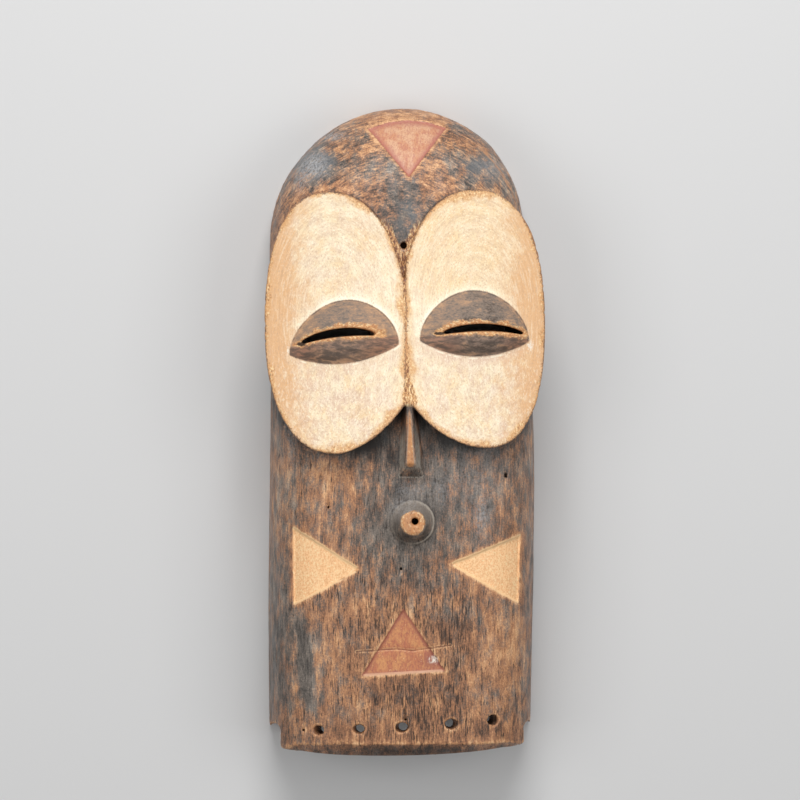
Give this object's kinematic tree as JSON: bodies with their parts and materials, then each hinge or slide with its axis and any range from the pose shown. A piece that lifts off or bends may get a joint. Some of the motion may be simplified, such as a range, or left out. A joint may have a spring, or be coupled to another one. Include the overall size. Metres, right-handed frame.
{
  "type": "owl mask",
  "caption": "Carved wooden owl face mask: domed board with proud oval eye discs, slit eyes, wedge nose, stub mouth, sunk triangles and an open hollow back.",
  "frame": {"origin": "centre of the footprint, on the plane of the back rim", "axes": "+Y towards the crown, +Z out of the face, +X to the viewer's right"},
  "size_m": [0.193, 0.45, 0.1189],
  "materials": {
    "painted_wood": "worn satin"
  },
  "bodies": {
    "root": {"mask": "painted_wood"}
  },
  "joints": []
}
